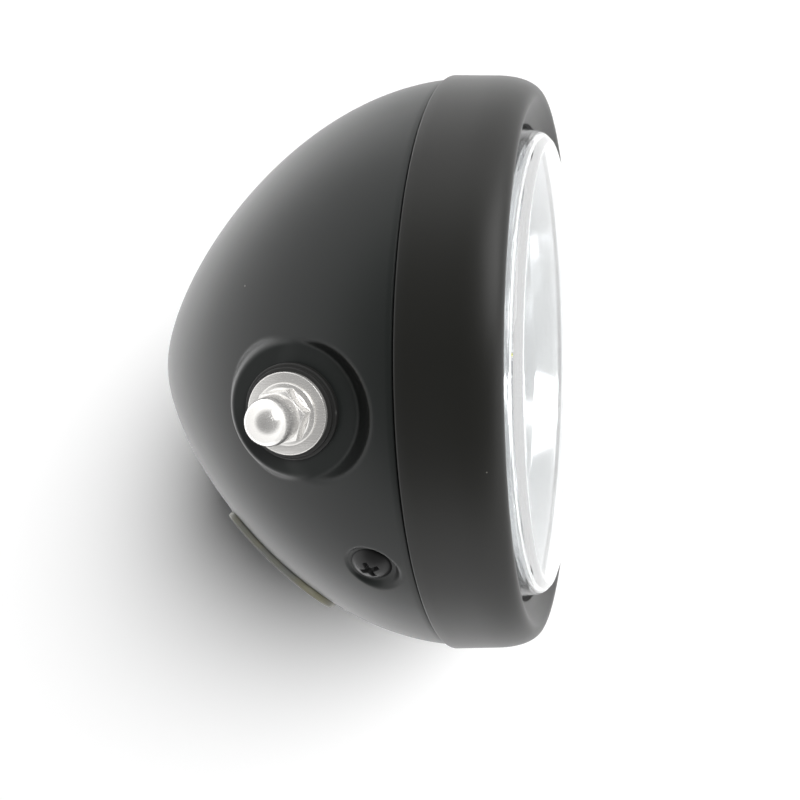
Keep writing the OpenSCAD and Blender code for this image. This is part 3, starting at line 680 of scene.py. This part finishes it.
def make_rim():
    """The trim ring: rounded seam edge, side, oval front edge, bevel and lip."""
    seam = SEAM + SEAM_GAP
    outline = [(BOWL_R - SEAM_FLANGE, seam + 0.1), (RIM_R - 2.6, seam + 0.1)]
    outline += arc(RIM_R - SEAM_ROUND, seam + SEAM_ROUND, SEAM_ROUND, -math.pi / 2, 0, 6)
    outline += [rim_edge(t) for t in np.linspace(math.radians(15), BEVEL_TURN, 44)]
    end_out, end_in = bevel_end(0.0), bevel_end(RIM_WALL)
    lip = 0.5
    outline += [(end_out[0] + lip, end_out[1] + lip * 0.62)]
    outline += [(end_out[0] + lip - lip * math.sin(t), end_out[1] + lip * 0.62 - lip + lip * math.cos(t))
                for t in np.linspace(0.2, math.pi / 2, 5)]
    outline += [(end_out[0], end_in[1])]
    outline += [rim_edge(t, RIM_WALL) for t in np.linspace(BEVEL_TURN, 0, 16)]
    outline += [(RIM_R - RIM_WALL, SEAM + RIM_WALL), (BOWL_R - SEAM_FLANGE, SEAM + RIM_WALL)]
    verts, faces = spin(densify(outline, 2.5), 384, round_lamp, closed=True)
    piece("rim_band", verts, faces, RIM_PAINT, ["trim_ring"], 60)


def lens_outline(inset, steps):
    """One face of the lens from its middle to the foot of its side wall."""
    cr = LENS_R - LENS_DRAFT - LENS_CORNER_R
    cz = LENS_FRONT + LENS_SIDE_H - LENS_CORNER_R
    half = cr + LENS_CORNER_R * 0.35
    ball = (half ** 2 + LENS_RISE ** 2) / (2 * LENS_RISE)
    apex = cz + LENS_CORNER_R + LENS_RISE
    tilt = math.asin(half / ball)
    dome = [((ball - inset) * math.sin(tilt * i / steps),
             apex - ball + (ball - inset) * math.cos(tilt * i / steps)) for i in range(steps + 1)]
    return dome + arc(cr, cz, LENS_CORNER_R - inset, math.radians(60), 0, 12)


def make_lens():
    outline = lens_outline(0, 40)
    outline += [(LENS_R, LENS_FRONT), (LENS_FLANGE_R, LENS_FRONT), (LENS_FLANGE_R, LENS_BACK),
                (LENS_R - LENS_WALL, LENS_BACK)]
    outline += lens_outline(LENS_WALL, 40)[::-1]
    verts, faces = spin(outline, 384, round_lamp)
    piece("lens_dome", verts, turned(faces), LENS, ["lens"], 40)


def make_reflector():
    """The bright bowl with its collar, and the carrier flange behind it."""
    front = LENS_BACK - 1
    zero = front - BOWL_FRONT_R ** 2 / (4 * FOCAL)
    neck_back = zero + NECK_R ** 2 / (4 * FOCAL) - 3
    top = LENS_BACK + COLLAR_H
    outline = [(NECK_R, neck_back)]
    outline += [(r, zero + r * r / (4 * FOCAL)) for r in np.linspace(NECK_R, BOWL_FRONT_R, 90)]
    outline += [(BOWL_FRONT_R + COLLAR_FLARE, top - 0.4), (BOWL_FRONT_R + COLLAR_FLARE + 0.2, top),
                (COLLAR_R - 0.2, top), (COLLAR_R, top - 0.3), (COLLAR_R, LENS_BACK - 0.02),
                (LENS_FLANGE_R, LENS_BACK - 0.02), (LENS_FLANGE_R, LENS_BACK - 2.8),
                (BOWL_FRONT_R + 4, LENS_BACK - 2.8)]
    outline += [(r + 1.6, zero + r * r / (4 * FOCAL) - 2)
                for r in np.linspace(BOWL_FRONT_R, NECK_R + 12, 40)]
    outline += [(NECK_R + 16, neck_back + 3), (NECK_R + 16, neck_back)]
    verts, faces = spin(outline, 256, round_lamp, closed=True)
    piece("reflector_bowl", verts, turned(faces), MIRROR, ["reflector"], 40)


# Rim screws

def make_screws():
    """Both black screws: a shallow domed head with a tapered cross recess, and a thread."""
    crown = (5.9 ** 2 + HEAD_H ** 2) / (2 * HEAD_H)
    radii = np.concatenate([np.linspace(0, 3.1, 34), np.linspace(3.25, HEAD_R - 0.25, 10)])
    steps = 160

    def head_height(r, a):
        """Height of the head over its seat, with the recess taken out."""
        height = math.sqrt(crown ** 2 - r * r) - crown + HEAD_H
        u, v = r * math.cos(a - math.radians(20)), r * math.sin(a - math.radians(20))
        arm = min(max(abs(v) - CROSS_W, abs(u) - CROSS_R), max(abs(u) - CROSS_W, abs(v) - CROSS_R))
        inside = min(arm, r - 1.15)
        share = min(1.0, max(0.0, 0.5 - inside / 0.34))
        share = share * share * (3 - 2 * share)
        return height - share * CROSS_DEEP * (1 - 0.55 * (r / CROSS_R) ** 2)

    parts = []
    for side in (-1, 1):
        line = Vector((side * math.cos(SCREW_ANGLE), 0, -math.sin(SCREW_ANGLE)))
        down = Vector((0, 1, 0))
        third = line.cross(down)
        start = Vector((0, SCREW_BACK - SEAM, 0))

        def place(r, h, a, line=line, down=down, third=third, start=start):
            return start + line * h + (down * math.cos(a) + third * math.sin(a)) * r

        rings = [lambda a: (0.0, SEAT_X + head_height(0.0, 0.0))]
        rings += [lambda a, r=r: (r, SEAT_X + head_height(r, a)) for r in radii[1:]]
        edge = math.sqrt(crown ** 2 - HEAD_R ** 2) - crown + HEAD_H
        rings += [lambda a, t=t: (HEAD_R - 0.2 + 0.2 * math.sin(t), SEAT_X + edge - 0.12 + 0.2 * math.cos(t))
                  for t in np.linspace(0.5, math.pi / 2, 4)]
        rings += [lambda a: (HEAD_R, SEAT_X), lambda a: (2.5, SEAT_X)]
        for k in range(9):
            rings += [lambda a, k=k: (2.5, SEAT_X - 0.2 - k * 0.8),
                      lambda a, k=k: (2.15, SEAT_X - 0.6 - k * 0.8)]
        rings += [lambda a: (2.0, SEAT_X - 8), lambda a: (0.0, SEAT_X - 8)]
        parts.append(spin_rings(rings, steps, place))
    verts, faces = joined(*parts)
    piece("cross_head_screws", verts, turned(faces), SCREW_BLACK, ["rim_screws"], 38)


# Side bolts, washers and bushes

def hex_radius(a, af):
    """Distance from the middle of a hexagon to its outline at angle a."""
    turn = math.pi / 3
    return af / 2 / math.cos((a - math.radians(8)) % turn - turn / 2)


def bolt_mesh(side):
    """The domed head: a flange, a hexagon cut back by a cone, and a round dome on top."""
    base = HEAD_X
    top = base + HEX_H
    tip_r = DOME_R - BOLT_TAPER
    tip = base + BOLT_HEAD_H - tip_r

    def neck(a, t):
        """From the flange up to the foot of the hexagon, in a hollow curve."""
        r = BOLT_FLANGE_R - 0.6 - (BOLT_FLANGE_R - 0.6 - BOLT_AF / 2) * t ** 0.6
        return (max(r, hex_radius(a, BOLT_AF)), base + 0.95 + 1.0 * t * t)

    def flat(a, t):
        """Up the hexagon's flats."""
        r = hex_radius(a, BOLT_AF)
        return (r, base + 1.95 + (cone_height(r, top) - base - 1.95) * t)

    def shoulder(a, t):
        """From the hexagon's upper edge in to the dome."""
        r = hex_radius(a, BOLT_AF)
        r += (DOME_R - r) * t
        return (r, cone_height(r, top))

    rings = [lambda a: (0.0, base), lambda a: (BOLT_FLANGE_R - 0.3, base)]
    rings += [lambda a, t=t: (BOLT_FLANGE_R - 0.45 + 0.45 * math.cos(t), base + 0.45 + 0.45 * math.sin(t))
              for t in np.linspace(-math.pi / 2, math.pi / 2, 7)]
    rings += [lambda a, t=t: neck(a, t) for t in np.linspace(0, 1, 7)]
    rings += [lambda a, t=t: flat(a, t) for t in np.linspace(0, 1, 9)]
    rings += [lambda a, t=t: shoulder(a, t) for t in np.linspace(0.1, 1, 7)]
    rings += [lambda a, t=t: (DOME_R - BOLT_TAPER * t, top + 0.3 + (tip - top - 0.3) * t)
              for t in np.linspace(0, 1, 8)]
    rings += [lambda a, t=t: (tip_r * math.cos(t), tip + tip_r * math.sin(t))
              for t in np.linspace(0, math.pi / 2, 34)[1:-1]]
    rings.append(lambda a: (0.0, tip + tip_r))
    return spin_rings(rings, 192, round_bolt(side))


def cone_height(r, top):
    """Height of the cone that cuts the hexagon's corners, over the distance from its middle."""
    return top + 0.2 - max(0.0, r - BOLT_AF / 2 + 0.2) * 0.7


def spin_rings(rings, steps, place):
    """Like spin, for rings whose radius and height change round the turn."""
    verts, index = [], []
    for ring in rings:
        r0, h0 = ring(0.0)
        if r0 == 0.0:
            index.append([len(verts)])
            verts.append(place(0, h0, 0))
            continue
        index.append(list(range(len(verts), len(verts) + steps)))
        for k in range(steps):
            a = 2 * math.pi * k / steps
            r, h = ring(a)
            verts.append(place(r, h, a))
    return verts, bands(zip(index, index[1:]), steps)


def make_bolts():
    """Both domed bolts with their shanks."""
    parts = []
    for side in (-1, 1):
        parts.append(bolt_mesh(side))
        shank = [(0, PAD_X - 12), (BOLT_R - 0.6, PAD_X - 12), (BOLT_R, PAD_X - 11.4)]
        for k in range(16):
            h = PAD_X - 11.2 + k * 1.25
            shank += [(BOLT_R, h), (BOLT_R - 0.45, h + 0.5), (BOLT_R, h + 1.0)]
        shank += [(BOLT_R, HEAD_X), (0, HEAD_X)]
        parts.append(spin([p for p in shank if p[1] <= HEAD_X], 48, round_bolt(side)))
    verts, faces = joined(*parts)
    piece("dome_bolts", verts, faces, POLISHED, ["side_bolts"], 24)


def make_washers():
    parts = []
    hole, edge = BOLT_R + 0.25, 0.25
    lo, hi = WASHER_IN, WASHER_IN + WASHER_T
    outline = [(hole, lo), (WASHER_R - edge, lo)]
    outline += arc(WASHER_R - edge, lo + edge, edge, -math.pi / 2, 0, 4)
    outline += arc(WASHER_R - edge, hi - edge, edge, 0, math.pi / 2, 4)
    outline += [(hole, hi)]
    for side in (-1, 1):
        parts.append(spin(outline, 160, round_bolt(side), closed=True))
    verts, faces = joined(*parts)
    piece("bright_washers", verts, faces, POLISHED, ["side_washers"], 24)


def make_bushes():
    parts = []
    hole, edge = BOLT_R + 0.25, 0.5
    mid = PAD_X + BUSH_T
    outline = [(hole, PAD_X - BOWL_WALL), (6, PAD_X - BOWL_WALL), (6, PAD_X + 0.01)]
    outline += arc(BUSH_R - edge, PAD_X + edge, edge, -math.pi / 2, 0, 5)
    outline += arc(BUSH_R - edge, mid - edge, edge, 0, math.pi / 2, 5)
    outline += [(BUSH_STEP_R + 0.1, mid)]
    outline += arc(BUSH_STEP_R - 0.3, WASHER_IN - 0.3, 0.3, 0, math.pi / 2, 4)
    outline += [(hole, WASHER_IN - 0.01)]
    for side in (-1, 1):
        parts.append(spin(outline, 160, round_bolt(side), closed=True))
    verts, faces = joined(*parts)
    piece("rubber_bushes", verts, faces, RUBBER, ["side_bushes"], 40)


make_bucket()
make_slot_trim()
make_rim()
make_lens()
make_reflector()
make_bolts()
make_washers()
make_bushes()
make_screws()


# Table, light and camera

SENSOR_WIDTH, FOCAL_LENGTH = 36.0, 38.25
CAMERA_PLACE = Vector((-0.2915, -0.0920, 0.0391))
CAMERA_AIM = Vector((0.9427, 0.2891, -0.1669)).normalized()
CAMERA_UP = Vector((0.1725, 0.0065, 0.9850))
CAMERA_RIGHT = CAMERA_AIM.cross(CAMERA_UP).normalized()
CAMERA_UP = CAMERA_RIGHT.cross(CAMERA_AIM)

# The dark part of the room lies round the camera; levels run from opposite it to it
DARK_WAY = tuple(-CAMERA_AIM)
ROOM_LEVELS = [(0.0, 1.0), (0.7, 1.0), (0.85, 0.18), (1.0, 0.02)]
REFLECTED_ROOM = 1.2
ROOM_LIGHT = 0.05
SEEN_TABLE = 1.08
# Painted light: in reflections the table is lit brighter this way, from the right of the lamp to its left,
# up to 1.9 times white
REFLECTED_WAY = (-CAMERA_RIGHT - CAMERA_UP * 0.1).normalized()
REFLECTED_TABLE_LIGHT, TABLE_SPAN = (1.0, 1.9), 0.15
# The table is a plane this far from the lamp's middle
TABLE_NORMAL, TABLE_AWAY, TABLE_HALF = Vector((-0.967, 0.254, 0)).normalized(), 0.1046, 1.4
# Where the lights lie, as right, up and back in the camera's directions
OVERHEAD_WAY, OVERHEAD_SPREAD, WINDOW_WAY = (0.68, 0.62, 1.9), math.radians(28.0), (0.55, 0.45, 0.6)


def make_camera():
    data = bpy.data.cameras.new("camera")
    data.sensor_width = SENSOR_WIDTH
    data.lens = FOCAL_LENGTH
    camera = bpy.data.objects.new("camera", data)
    turn = Matrix((CAMERA_RIGHT, CAMERA_UP, -CAMERA_AIM)).transposed()
    camera.matrix_world = Matrix.Translation(CAMERA_PLACE) @ turn.to_4x4()
    bpy.context.scene.collection.objects.link(camera)
    bpy.context.scene.camera = camera


def make_table():
    """The white table under the lamp, within 2 mm of the rim. The far bolt's dome ends about
    1 mm below its surface."""
    middle = -TABLE_NORMAL * TABLE_AWAY
    turn = TABLE_NORMAL.to_track_quat("Z", "Y").to_matrix()
    corners = [middle + turn @ Vector((x * TABLE_HALF, y * TABLE_HALF, 0))
               for x, y in ((-1, -1), (1, -1), (1, 1), (-1, 1))]
    mesh = bpy.data.meshes.new("table")
    mesh.from_pydata([tuple(c) for c in corners], [], [(0, 1, 2, 3)])
    made = bpy.data.materials.new("white_table")
    made.use_nodes = True
    tree = made.node_tree
    tree.nodes.clear()
    out = add(tree, "OutputMaterial")
    white = add(tree, "BsdfDiffuse", {"Color": (0.95, 0.95, 0.95, 1)})
    where = add(tree, "TexCoord")
    # Painted light: reflections see the table brighter towards the lamp's left, as a colour above white set
    # by position
    way = add(tree, "VectorMath", {1: REFLECTED_WAY}, operation="DOT_PRODUCT")
    tree.links.new(where.outputs["Object"], way.inputs[0])
    level = add(tree, "MapRange", {"From Min": -TABLE_SPAN, "From Max": TABLE_SPAN,
                                   "To Min": REFLECTED_TABLE_LIGHT[0], "To Max": REFLECTED_TABLE_LIGHT[1]})
    tree.links.new(way.outputs["Value"], level.inputs["Value"])
    painted_reflection = add(tree, "BsdfDiffuse")
    tree.links.new(level.outputs["Result"], painted_reflection.inputs["Color"])
    seen = add(tree, "BsdfDiffuse", {"Color": (SEEN_TABLE,) * 3 + (1,)})
    path = add(tree, "LightPath")
    lit = white
    for label, shade in (("Is Glossy Ray", painted_reflection), ("Is Camera Ray", seen)):
        chosen = add(tree, "MixShader")
        tree.links.new(path.outputs[label], chosen.inputs["Fac"])
        tree.links.new(lit.outputs[0], chosen.inputs[1])
        tree.links.new(shade.outputs["BSDF"], chosen.inputs[2])
        lit = chosen
    clear = add(tree, "BsdfTransparent")
    shape = add(tree, "NewGeometry")
    chosen = add(tree, "MixShader")
    tree.links.new(shape.outputs["Backfacing"], chosen.inputs["Fac"])
    tree.links.new(lit.outputs["Shader"], chosen.inputs[1])
    tree.links.new(clear.outputs["BSDF"], chosen.inputs[2])
    tree.links.new(chosen.outputs["Shader"], out.inputs["Surface"])
    mesh.materials.append(made)
    table = bpy.data.objects.new("table", mesh)
    bpy.context.scene.collection.objects.link(table)


def aimed_light(name, kind, way, strength):
    """A light that lies (right, up, back) of the lamp's middle as the camera sees it."""
    data = bpy.data.lights.new(name, kind)
    data.energy = strength
    light = bpy.data.objects.new(name, data)
    place = CAMERA_RIGHT * way[0] + CAMERA_UP * way[1] - CAMERA_AIM * way[2]
    light.location = place
    light.rotation_euler = (-place).to_track_quat("-Z", "Y").to_euler()
    bpy.context.scene.collection.objects.link(light)
    return light


def make_lights():
    """An even light with a soft shadow, which reflections leave out, and a small square lamp
    that gives the bolt its highlight."""
    overhead = aimed_light("overhead", "SUN", OVERHEAD_WAY, 5.2)
    overhead.data.angle = OVERHEAD_SPREAD
    overhead.visible_glossy = False
    aimed_light("window", "AREA", WINDOW_WAY, 2.5).data.size = 0.6


def make_world():
    """White to the camera and through glass, and a weak soft light on the lamp. In reflections
    it is a pale room, dark where the picture is taken from."""
    world = bpy.data.worlds.new("studio")
    bpy.context.scene.world = world
    world.use_nodes = True
    tree = world.node_tree
    tree.nodes.clear()
    out = add(tree, "OutputWorld")
    where = add(tree, "TexCoord")
    way = add(tree, "VectorMath", operation="DOT_PRODUCT")
    tree.links.new(where.outputs["Generated"], way.inputs[0])
    way.inputs[1].default_value = DARK_WAY
    span = add(tree, "MapRange", {"From Min": -1.0, "From Max": 1.0})
    tree.links.new(way.outputs["Value"], span.inputs["Value"])
    level = ramp(tree, span.outputs["Result"], ROOM_LEVELS)
    seen = add(tree, "Background", {"Color": (1, 1, 1, 1), "Strength": 1.0})
    light = add(tree, "Background", {"Color": (1, 1, 1, 1), "Strength": ROOM_LIGHT})
    room = add(tree, "Background", {"Strength": REFLECTED_ROOM})
    tree.links.new(level, room.inputs["Color"])
    path = add(tree, "LightPath")
    last = light
    for label, shade in (("Is Glossy Ray", room), ("Is Transmission Ray", seen), ("Is Camera Ray", seen)):
        chosen = add(tree, "MixShader")
        tree.links.new(path.outputs[label], chosen.inputs["Fac"])
        tree.links.new(last.outputs[0], chosen.inputs[1])
        tree.links.new(shade.outputs[0], chosen.inputs[2])
        last = chosen
    tree.links.new(last.outputs["Shader"], out.inputs["Surface"])


make_camera()
make_table()
make_world()
make_lights()
bpy.context.scene.view_settings.view_transform = "Standard"
